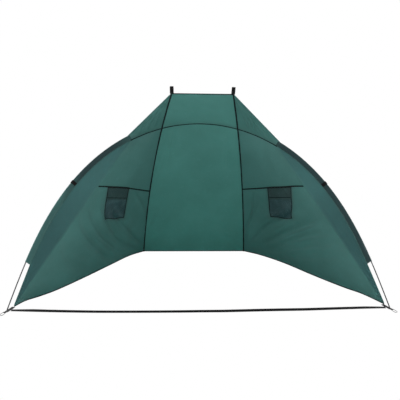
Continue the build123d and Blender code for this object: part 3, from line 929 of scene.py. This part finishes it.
# between its ends the slack strap lies a little on its front edge
lean = STRAP_LEAN * np.clip((STRAP_END - np.abs(x)) / 0.15, 0, 1)[:, None]
lean = lean * (1 + 0.25 * np.sin(3.1 * x))[:, None]
up = np.hstack([0 * lean, -np.sin(lean), np.cos(lean)])
across = np.hstack([0 * lean, np.cos(lean), np.sin(lean)])
line = np.stack([x, STRAP_Y + sway - slack, STRAP_T / 2 + lift + STRAP_W / 2 * np.sin(lean[:, 0])], -1)
strap = bar_object("front_strap", line, strip(STRAP_W, 0.0017, 8), WEBBING, up)
piece(strap, "webbing", "front_ground_strap")
for off in WEBBING_ROWS:
    black_stitches.append(stitch_row(line + across * off + up * 0.0009, up, 0.005, 0.0034))


def tab_loop(share, side):
    """Webbing folded round the arch sleeve, its ends sewn together at the seam."""
    reach = POLE_R + 0.0048
    path = [(0.0345, 0.0010), (0.020, 0.0052), (0.006, reach), (-0.0045, reach * 0.82), (-reach - 0.0004, 0.0)]
    half = STRAP_W / 2 / HALF_LENGTH
    shares = np.linspace(share - half, share + half, 6) * side
    return np.stack([arch(shares, a, b) for a, b in round_loop(path, 60)])


def turned(place, profile, around):
    """Rings of points of a profile of (radius, height) turned about an upright axis."""
    ang = np.linspace(0, 2 * np.pi, around, endpoint=False)
    disc = np.stack([np.cos(ang), np.sin(ang), 0 * ang], -1)
    return np.array([place + disc * q + UP * h for q, h in profile])


def pocket_swell(x):
    """Depth of the tip pocket across its width: full over the pole, flat beside it."""
    return 0.45 + 0.55 * np.exp(-((x / 0.0075) ** 2))


FOOT_AT = np.array([HALF_SPAN, FRONT_Y, 0.0])
TAB_START = np.array([CORNER[0], CORNER[1], 0.0])
TAB_PAST = 0.020  # it runs on past the foot of the arch pole
TAB_LEN = np.linalg.norm(FOOT_AT - TAB_START) + TAB_PAST
TAB_WAY = unit(FOOT_AT - TAB_START)
TAB_SIDE = np.cross(UP, TAB_WAY)
TIP_WAY = unit(np.array([0.03, -0.25, 0.97]))
TIP_X = unit(np.array([1.0, 0, 0]) - TIP_WAY * TIP_WAY[0])
TIP_Y = np.cross(TIP_WAY, TIP_X)
ROLL_R, ROLL_UP = 0.0036, 0.0046  # rolled end of the corner tab: its radius and the height of its middle
EYELET = [(0.0078, 0.0), (0.0090, 0.0002), (0.0092, 0.0022), (0.0118, 0.0023), (0.0121, 0.0029),
          (0.0112, 0.0036), (0.0094, 0.0040), (0.0080, 0.0036)]
FOOT_CAP = [(0.0088, 0.0), (0.0098, 0.0010), (0.0099, 0.0060), (0.0092, 0.0072), (0.0092, 0.0160),
            (0.0086, 0.0235), (0.0074, 0.0258), (0.0052, 0.0260), (0.0040, 0.0252), (0.0038, 0.0200)]
WIRE, RING_LEN, RING_W, RING_UP = 0.0018, 0.046, 0.026, 0.0044
for side, word in SIDES:
    flip = FLIP[side]
    tab = cloth_object(word + "_sleeve_tab", tab_loop(TAB, side), WEBBING, WEBBING_T)
    piece(tab, "webbing", word + "_arch_tab")

    # Corner tab that ends in a roll round the wire of the ring
    s = np.linspace(0, TAB_LEN - 0.003, 22)
    ang = np.linspace(-np.pi / 2, np.pi * 1.35, 26)
    roll = np.stack([TAB_LEN + ROLL_R * np.cos(ang), ROLL_UP + ROLL_R * np.sin(ang)], -1)
    path = np.vstack([np.stack([s, np.full_like(s, 0.0010)], -1), roll])
    line = TAB_START + TAB_WAY * path[:, :1] + UP * path[:, 1:]
    narrows = [0, TAB_LEN - 0.022, TAB_LEN - 0.010, TAB_LEN + 1]
    wide = np.interp(path[:, 0], narrows, [0.0245, 0.0245, 0.0115, 0.0115])
    grid = np.stack([line + TAB_SIDE * (wide[:, None] * k) for k in np.linspace(-0.5, 0.5, 8)], 1) * flip
    tab = cloth_object(word + "_corner_webbing", grid, WEBBING, WEBBING_T)
    piece(tab, "webbing", word + "_corner_tab")
    edge = TAB_START + TAB_WAY * np.linspace(0.006, 0.062, 40)[:, None] + UP * 0.0019
    for off in WEBBING_ROWS:
        black_stitches.append(stitch_row((edge + TAB_SIDE * off) * flip, UP))

    # Eyelet for the foot of the arch pole, its profile closed round its bore
    verts = turned(FOOT_AT, EYELET, 48) * flip
    last = (len(EYELET) - 1) * 48
    faces = grid_faces(len(EYELET), 48, wrap=True)
    faces += [[last + k, last + (k + 1) % 48, (k + 1) % 48, k] for k in range(48)]
    eyelet = make_object(word + "_eyelet", verts.reshape(-1, 3), faces, STEEL)
    piece(eyelet, "steel", word + "_corner_eyelet")

    # Bent wire ring through the roll, its far side on the ground
    drop = math.asin((RING_UP - WIRE - 0.00015) / (RING_LEN - 2 * WIRE))
    way = TAB_WAY * math.cos(drop) - UP * math.sin(drop)
    mid = TAB_START + TAB_WAY * TAB_LEN + UP * RING_UP + way * (RING_LEN - 2 * WIRE) / 2
    c, s = np.cos(np.linspace(0, 2 * np.pi, 121)), np.sin(np.linspace(0, 2 * np.pi, 121))
    px = squarish(c, 0.55) * (RING_LEN / 2 - WIRE)
    py = squarish(s, 0.55) * (RING_W / 2 - WIRE)
    verts, faces, uvs = sweep((mid + way * px[:, None] + TAB_SIDE * py[:, None]) * flip, circle(WIRE, 10))
    # without end faces, as the wire runs back to its start
    piece(make_object(word + "_wire_ring", verts, faces[:-2], STEEL, uvs=uvs), "steel", word + "_peg_ring")

    # Tip pocket: webbing folded over the end of the upright, open below
    ang = np.linspace(0, 2 * np.pi, 40, endpoint=False)
    c, s = np.cos(ang), np.sin(ang)
    rows = []
    for k in np.linspace(0, 1, 20):
        px = squarish(c, 0.35) * 0.0136 * (1 - 0.06 * k**8)
        py = squarish(s, 0.75) * 0.0066 * (1 - 0.72 * k**6) * pocket_swell(px)
        rows.append(TIP + TIP_WAY * (0.054 * k - 0.004) + TIP_X * px[:, None] + TIP_Y * py[:, None])
    grid = np.array(rows) * flip
    faces = grid_faces(20, 40, wrap=True) + [[19 * 40 + k for k in range(40)], list(range(40))[::-1]]  # closed
    obj = make_object(word + "_tip_webbing", grid.reshape(-1, 3), faces, WEBBING, uvs=lengths(grid))
    piece(obj, "webbing", word + "_tip_pocket")
    px = np.linspace(-0.0115, 0.0115, 14)[:, None]
    for h in (0.004, 0.040):
        for front in (-1, 1):
            row = TIP + TIP_WAY * h + TIP_X * px + TIP_Y * (front * 0.0067) * pocket_swell(px)
            black_stitches.append(stitch_row(row * flip, TIP_Y * flip * front, 0.003, 0.002))

    # Foot cap of the upright, round the rod's end, closed below
    verts = np.vstack([BACK_FOOT, turned(BACK_FOOT, FOOT_CAP, 32).reshape(-1, 3)])
    faces = [[0, 1 + (k + 1) % 32, 1 + k] for k in range(32)]
    faces += grid_faces(len(FOOT_CAP), 32, wrap=True, start=1)
    cap = make_object(word + "_foot_cap", verts * flip, faces, RUBBER)
    piece(cap, "black_plastic", word + "_back_foot")

piece(joined("stitching", stitches, THREAD), "binding")
piece(joined("black_stitching", black_stitches, WEBBING), "webbing")

# Camera, from the outline and seams of the photo
CAM_AT = (-0.2727, -4.5053, 1.8873)
YAW, PITCH, ROLL, FOCAL = 0.0620, 0.2684, -0.0196, 612.35 / 400


def camera():
    ahead = Vector((math.sin(YAW) * math.cos(PITCH), math.cos(YAW) * math.cos(PITCH), -math.sin(PITCH)))
    right = Vector((math.cos(YAW), -math.sin(YAW), 0))
    down = ahead.cross(right)
    c, s = math.cos(ROLL), math.sin(ROLL)
    right, down = right * c + down * s, down * c - right * s
    cam = bpy.data.cameras.new("camera")
    cam.sensor_width, cam.lens = 36, 36 * FOCAL
    obj = add_object("camera", cam)
    turn = Matrix((right, -down, -ahead)).transposed()
    obj.matrix_world = Matrix.Translation(CAM_AT) @ turn.to_4x4()
    bpy.context.scene.camera = obj


camera()


# Floor, backdrop and light
def seen_apart(nt, lit, seen, out):
    """Gives the camera one shader and everything else the other."""
    path, pick = node(nt, "LightPath"), node(nt, "MixShader")
    nt.links.new(path.outputs["Is Camera Ray"], pick.inputs[0])
    nt.links.new(lit.outputs[0], pick.inputs[1])
    nt.links.new(seen.outputs[0], pick.inputs[2])
    nt.links.new(pick.outputs[0], out.inputs[0])


def floor():
    mat, nt, bsdf, out = new_material("pale floor")
    colour = ramp(nt, noise(nt, 1.5, 2, 0.5), (0.76, 0.76, 0.76, 1), (0.80, 0.80, 0.80, 1))
    nt.links.new(colour, bsdf.inputs["Base Color"])
    bsdf.inputs["Roughness"].default_value = 0.9
    glow = node(nt, "Emission")
    glow.inputs["Color"].default_value = WHITE
    seen_apart(nt, bsdf, glow, out)
    far = 30
    corners = [(-far, -far, -0.001), (far, -far, -0.001), (far, far, -0.001), (-far, far, -0.001)]
    make_object("floor", corners, [(0, 1, 2, 3)], mat, smooth=False)


def studio_world(strength):
    world = bpy.data.worlds.new("studio")
    bpy.context.scene.world = world
    world.use_nodes = True
    nt = world.node_tree
    nt.nodes.clear()
    out, lit, seen = (node(nt, k) for k in ("OutputWorld", "Background", "Background"))
    lit.inputs["Strength"].default_value = strength
    lit.inputs["Color"].default_value = seen.inputs["Color"].default_value = WHITE
    seen_apart(nt, lit, seen, out)


def area_light(name, at, to, size, power):
    data = bpy.data.lights.new(name, "AREA")
    data.shape, data.size, data.energy = "DISK", size, power
    obj = add_object(name, data)
    obj.location = at
    obj.rotation_mode = "QUATERNION"
    obj.rotation_quaternion = (Vector(to) - Vector(at)).to_track_quat("-Z", "Y")


floor()
studio_world(0.78)
area_light("above_behind", at=(0.0, 3.2, 3.6), to=(0, 0, 0.6), size=3.0, power=420)
for side, word in SIDES:
    area_light(word + "_behind", at=(2.6 * side, 0.25, 1.2), to=(0.7 * side, 0.1, 0.3), size=1.6, power=80)

scene = bpy.context.scene
scene.view_settings.view_transform = "Standard"
